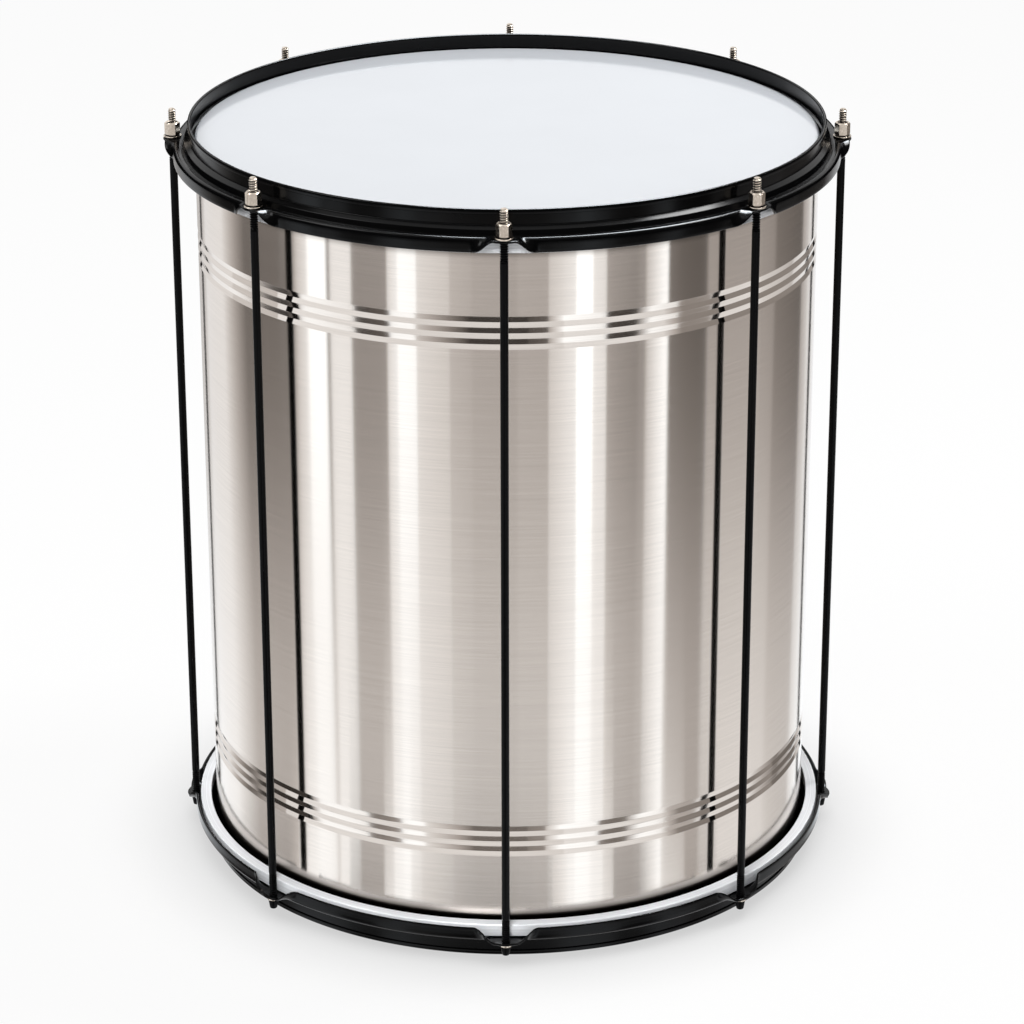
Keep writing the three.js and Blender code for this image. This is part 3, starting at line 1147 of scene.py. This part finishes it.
# Cards and strip lights that stand round the drum where only gloss sees them: from and
# to, as bearings in degrees to the right of the viewer, and how bright each edge is.
# The shell's plain wall sees the middle cards, the undersides of its grooves see the
# low ones, and the upper sides see the high ones. The black hoops don't see the high
# ones, which would turn their ledges grey.
HIGH_CARDS = (
    (-180, -115, 0.95, 0.95),
    (-115, -88, 0.8, 0.72),
    (-88, -20, 1.05, 0.95),
    (-20, 20, 0.95, 0.92),
    (20, 57, 1.05, 0.95),
    (57, 64, 0.9, 0.35),
    (64, 143, 0.33, 0.33),
    (143, 180, 0.5, 0.8),
)
MIDDLE_CARDS = (
    (-180, -163, 0.6, 0.7),
    (-163, -148, 0.7, 0.8),
    (-148, -127, 0.95, 1.0),
    (-127, -111, 0.95, 0.3),
    (-111, -85, 0.26, 0.26),
    (-85, -82, 0.45, 0.45),
    (-82, -76, 0.8, 1.1),
    (-76, -67.5, 1.4, 1.45),
    (-67.5, -66, 0.35, 0.35),
    (-66, -57, 1.1, 1.1),
    (-57, -43, 0.38, 0.4),
    (-43, -39, 1.0, 1.2),
    (-39, -32, 1.4, 1.35),
    (-32, -20, 1.0, 0.85),
    (-20, -12, 0.7, 0.62),
    (-12, 4, 0.58, 0.54),
    (4, 15, 0.6, 0.58),
    (15, 25, 0.85, 1.15),
    (25, 31, 1.6, 1.5),
    (31, 36, 1.1, 1.05),
    (36, 48, 0.48, 0.33),
    (48, 51, 0.4, 0.4),
    (51, 60, 0.75, 1.5),
    (60, 77, 0.26, 0.2),
    (77, 105, 0.58, 0.58),
    (105, 115, 0.55, 0.5),
    (115, 139, 0.36, 0.26),
    (139, 147, 0.6, 0.8),
    (147, 180, 0.9, 1.0),
)
LOW_CARDS = (
    (-180, -133, 0.9, 0.95),
    (-133, -123, 0.95, 0.12),
    (-123, -94, 0.1, 0.06),
    (-94, -88, 0.1, 1.0),
    (-88, -63, 1.4, 1.2),
    (-63, -48, 0.12, 0.22),
    (-48, -37, 1.4, 1.4),
    (-37, -15, 0.85, 0.09),
    (-15, 9, 0.08, 0.08),
    (9, 17, 0.14, 0.2),
    (17, 23, 0.6, 1.3),
    (23, 41, 1.45, 1.3),
    (41, 54, 0.13, 0.1),
    (54, 59, 0.3, 1.2),
    (59, 72, 1.4, 1.2),
    (72, 88, 0.45, 0.45),
    (88, 121, 1.05, 1.05),
    (121, 141, 0.9, 0.25),
    (141, 180, 0.5, 0.9),
)
CARD_DISTANCE = 6
CARD_STEP = 4  # degrees, in which a card is bent round the drum

# Rows of the walls of cards, from the top down: height, share of the card's
# brightness, and the power that it is raised to for more contrast
HIGH_ROWS = ((2.0, 1.0, 1.0), (-0.3, 1.0, 1.0), (-0.9, 0.85, 1.5))
MIDDLE_ROWS = (
    (-0.9, 1.0, 1.6),
    (-1.4, 1.0, 1.4),
    (-1.8, 1.0, 1.1),
    (-2.2, 1.06, 0.5),
    (-2.6, 1.16, 0.35),
    (-3.05, 1.28, 0.35),
)
LOW_ROWS = ((-3.05, 0.9, 1.2), (-5.2, 0.9, 1.2), (-5.6, 1.1, 0.7), (-8.5, 1.1, 0.7))
CARD_WALLS = (
    ("high_cards", HIGH_CARDS, HIGH_ROWS),
    ("middle_cards", MIDDLE_CARDS, MIDDLE_ROWS),
    ("low_cards", LOW_CARDS, LOW_ROWS),
)

# A card's green and blue, as shares of its red: at black, and what each unit of
# brightness adds, up to the coolest. Bright cards are a little cool and dim ones warm,
# as lamps and their bounce are.
CARD_GREEN = (0.9, 0.12)
CARD_BLUE = (0.83, 0.21)
COOLEST = 1.4

# A black flag over the cards in front
FLAG_BEARINGS = range(-130, 130, 10)
FLAG_FOOT, FLAG_TOP = 2.0, 9.0
FLAG_GLOW = 0.06

# The overhead light that only the black hoops see
OVERHEAD = ((-0.35, 0.3), (1.0, 0.3), (1.0, 2.0), (-0.35, 2.0))
OVERHEAD_HEIGHT = 2.6
OVERHEAD_GLOW = 45

# Softboxes: name, place, size, power in watts, and the pieces that they light, or none
# for all
HOOPS = ("top_counterhoop", "bottom_counterhoop")
FLESH_RINGS = ("top_flesh_ring", "bottom_flesh_ring")
LAMPS = (
    ("Key softbox", (1.15, 0.46, 2.55), 0.55, 26, ()),
    ("Fill softbox", (-1.7, -0.5, 2.3), 1.0, 14, ()),
    ("Foot softbox", (-0.4, -2.0, 2.2), 0.8, 80, FLESH_RINGS),
)
LAMP_TARGET = Vector((0, 0, 0.45))


def card_material():
    """Grey studio card that glows by the brightness stored at its corners."""
    material, tree = new_finish("Studio card")
    level = add_node(tree, "ShaderNodeAttribute", {"attribute_name": "brightness"})
    glow = add_node(tree, "ShaderNodeEmission", links={"Color": level.outputs["Color"]})
    add_node(
        tree, "ShaderNodeOutputMaterial", links={"Surface": glow.outputs["Emission"]}
    )
    return material


def ring_point(bearing, height):
    """A place on the ring of cards."""
    return on_circle(CARD_DISTANCE, math.radians(bearing - 90), height)


def card_strips(cards, rows):
    """Each strip of each card: its four corners and the brightness at each."""
    strips = []
    for start, end, start_level, end_level in cards:
        steps = max(1, round((end - start) / CARD_STEP))
        bearings = np.linspace(start, end, steps + 1)
        levels = np.linspace(start_level, end_level, steps + 1)
        sides = list(zip(bearings, levels))
        for left, right in zip(sides, sides[1:]):
            for high, low in zip(rows, rows[1:]):
                corners = ((left, high), (left, low), (right, low), (right, high))
                strips.append(
                    [
                        (ring_point(bearing, height), gain * level**contrast)
                        for (bearing, level), (height, gain, contrast) in corners
                    ]
                )
    return strips


def flag_strips():
    strips = []
    for left in FLAG_BEARINGS:
        right = left + FLAG_BEARINGS.step
        high, low = FLAG_TOP, FLAG_FOOT
        places = ((left, high), (left, low), (right, low), (right, high))
        strips.append([(ring_point(*place), FLAG_GLOW) for place in places])
    return strips


def overhead_strip():
    return [((*place, OVERHEAD_HEIGHT), OVERHEAD_GLOW) for place in OVERHEAD]


def add_cards(name, strips):
    """Strips of glowing card, each a list of corners with their brightness."""
    corners = [corner for strip in strips for corner in strip]
    faces = [tuple(range(i, i + 4)) for i in range(0, len(corners), 4)]
    mesh = bpy.data.meshes.new(name)
    mesh.from_pydata([place for place, _ in corners], [], faces)
    attribute = mesh.attributes.new("brightness", "FLOAT_COLOR", "POINT")
    for item, (_, level) in zip(attribute.data, corners):
        cool = min(level, COOLEST)
        green, blue = (least + more * cool for least, more in (CARD_GREEN, CARD_BLUE))
        item.color = (level, level * green, level * blue, 1)
    mesh.materials.append(finish("Studio card", card_material))
    cards = add_object(name, mesh)
    cards.visible_camera = False
    cards.visible_diffuse = False
    cards.visible_shadow = False
    cards.visible_transmission = False
    return cards


def show_light(light, names, state):
    """Shows a light to the named pieces alone (INCLUDE), or to all but them (EXCLUDE)."""
    pieces = bpy.data.collections.new(f"Pieces before {light.name}")
    for name in names:
        pieces.objects.link(bpy.data.objects[name])
    for member in pieces.collection_objects:
        member.light_linking.link_state = state
    light.light_linking.receiver_collection = pieces


def build_cards():
    for name, cards, rows in CARD_WALLS:
        add_cards(name, card_strips(cards, rows))
    add_cards("flag", flag_strips())
    show_light(bpy.data.objects["high_cards"], HOOPS, "EXCLUDE")
    show_light(add_cards("overhead_card", [overhead_strip()]), HOOPS, "INCLUDE")


def white_to_eye(tree):
    """1 for rays that see the background itself, also in metal and through glass."""
    path = add_node(tree, "ShaderNodeLightPath")
    seen = path.outputs["Is Camera Ray"]
    for also in ("Is Glossy Ray", "Is Transmission Ray"):
        seen = add_node(
            tree,
            "ShaderNodeMath",
            {"operation": "MAXIMUM"},
            {0: seen, 1: path.outputs[also]},
        ).outputs["Value"]
    return seen


def build_world():
    world = bpy.data.worlds.new("Studio")
    world.use_nodes = True
    tree = world.node_tree
    tree.nodes.clear()
    around, white = (
        add_node(tree, "ShaderNodeBackground", links={"Color": WHITE, "Strength": level})
        for level in (AMBIENT, 1.0)
    )
    mix = add_node(
        tree,
        "ShaderNodeMixShader",
        links={
            "Fac": white_to_eye(tree),
            1: around.outputs["Background"],
            2: white.outputs["Background"],
        },
    )
    add_node(tree, "ShaderNodeOutputWorld", links={"Surface": mix.outputs["Shader"]})
    bpy.context.scene.world = world


def floor_material():
    """Pale studio paper: it lights the drum as plain matt paper does, and to the eye it
    is white where nothing stands near and carries a soft painted shadow about the drum."""
    material, tree = new_finish("Pale studio floor")
    paper = add_node(tree, "ShaderNodeBsdfDiffuse", links={"Color": colours().floor})
    # Painted shadow: the glow that the eye sees drops where ambient occlusion finds things
    # near the floor.
    openness = add_node(
        tree,
        "ShaderNodeAmbientOcclusion",
        {"samples": 16},
        {"Distance": FLOOR_REACH},
    )
    strength = add_node(
        tree,
        "ShaderNodeMapRange",
        links={
            "Value": openness.outputs["AO"],
            "From Min": FLOOR_CROWDED,
            "From Max": FLOOR_OPEN,
            "To Min": FLOOR_GLOW_CROWDED,
            "To Max": FLOOR_GLOW,
        },
    )
    glow = add_node(
        tree,
        "ShaderNodeEmission",
        links={"Color": WHITE, "Strength": strength.outputs["Result"]},
    )
    shaded = add_node(tree, "ShaderNodeBsdfDiffuse", links={"Color": FLOOR_SHADE})
    seen = add_node(
        tree,
        "ShaderNodeAddShader",
        links={0: shaded.outputs["BSDF"], 1: glow.outputs["Emission"]},
    )
    mix = add_node(
        tree,
        "ShaderNodeMixShader",
        links={
            "Fac": white_to_eye(tree),
            1: paper.outputs["BSDF"],
            2: seen.outputs["Shader"],
        },
    )
    add_node(tree, "ShaderNodeOutputMaterial", links={"Surface": mix.outputs["Shader"]})
    return material


def build_floor():
    half = FLOOR_SIZE / 2
    mesh = bpy.data.meshes.new("studio_floor")
    mesh.from_pydata(
        [(-half, -half, 0), (half, -half, 0), (half, half, 0), (-half, half, 0)],
        [],
        [(0, 1, 2, 3)],
    )
    mesh.materials.append(floor_material())
    floor = add_object("studio_floor", mesh)
    floor.visible_glossy = False


def build_lamps():
    for name, place, size, power, pieces in LAMPS:
        lamp = bpy.data.lights.new(name, "AREA")
        lamp.shape = "SQUARE"
        lamp.size = size
        lamp.energy = power
        softbox = add_object(name, lamp)
        softbox.location = place
        aim = LAMP_TARGET - Vector(place)
        softbox.rotation_euler = aim.to_track_quat("-Z", "Y").to_euler()
        if pieces:
            show_light(softbox, pieces, "INCLUDE")


def build_camera():
    data = bpy.data.cameras.new("Camera")
    data.sensor_width = CAMERA_SENSOR
    data.lens = CAMERA_LENS
    data.clip_end = CAMERA_REACH
    camera = add_object("Camera", data)
    camera.matrix_world = (
        Matrix.Translation(CAMERA_PLACE)
        @ Matrix.Rotation(math.radians(CAMERA_TURN), 4, "Z")
        @ Matrix.Rotation(math.radians(90 - CAMERA_TILT), 4, "X")
        @ Matrix.Rotation(math.radians(CAMERA_ROLL), 4, "Z")
    )
    bpy.context.scene.camera = camera


class SURDO_OT_stage(Operator):
    """Sets the floor, the cards, the softboxes, the world and the camera"""

    bl_idname = "surdo.stage"
    bl_label = "Studio"

    def execute(self, context):
        build_floor()
        build_cards()
        build_world()
        build_lamps()
        build_camera()
        context.scene.view_settings.view_transform = "Standard"
        return {"FINISHED"}


OPERATORS = (
    SURDO_OT_shell,
    SURDO_OT_films,
    SURDO_OT_flesh_hoops,
    SURDO_OT_hoops,
    SURDO_OT_rods,
    SURDO_OT_fittings,
    SURDO_OT_stage,
)


class SURDO_PT_panel(Panel):
    """Lists what the drum is built from"""

    bl_idname = "SURDO_PT_panel"
    bl_label = "Surdo drum"
    bl_space_type = "VIEW_3D"
    bl_region_type = "UI"
    bl_category = "Surdo"

    def draw(self, context):
        layout = self.layout
        for group in (context.scene.surdo_sizes, context.scene.surdo_colours):
            column = layout.column()
            for name in group.__annotations__:
                column.prop(group, name)
        for operator in OPERATORS:
            layout.operator(operator.bl_idname)


CLASSES = (SurdoSizes, SurdoColours, *OPERATORS, SURDO_PT_panel)


def register():
    for each in CLASSES:
        bpy.utils.register_class(each)
    bpy.types.Scene.surdo_sizes = PointerProperty(type=SurdoSizes)
    bpy.types.Scene.surdo_colours = PointerProperty(type=SurdoColours)


def unregister():
    del bpy.types.Scene.surdo_colours
    del bpy.types.Scene.surdo_sizes
    for each in reversed(CLASSES):
        bpy.utils.unregister_class(each)


def main():
    register()
    for operator in OPERATORS:
        group, name = operator.bl_idname.split(".")
        getattr(getattr(bpy.ops, group), name)()


if __name__ == "__main__":
    main()
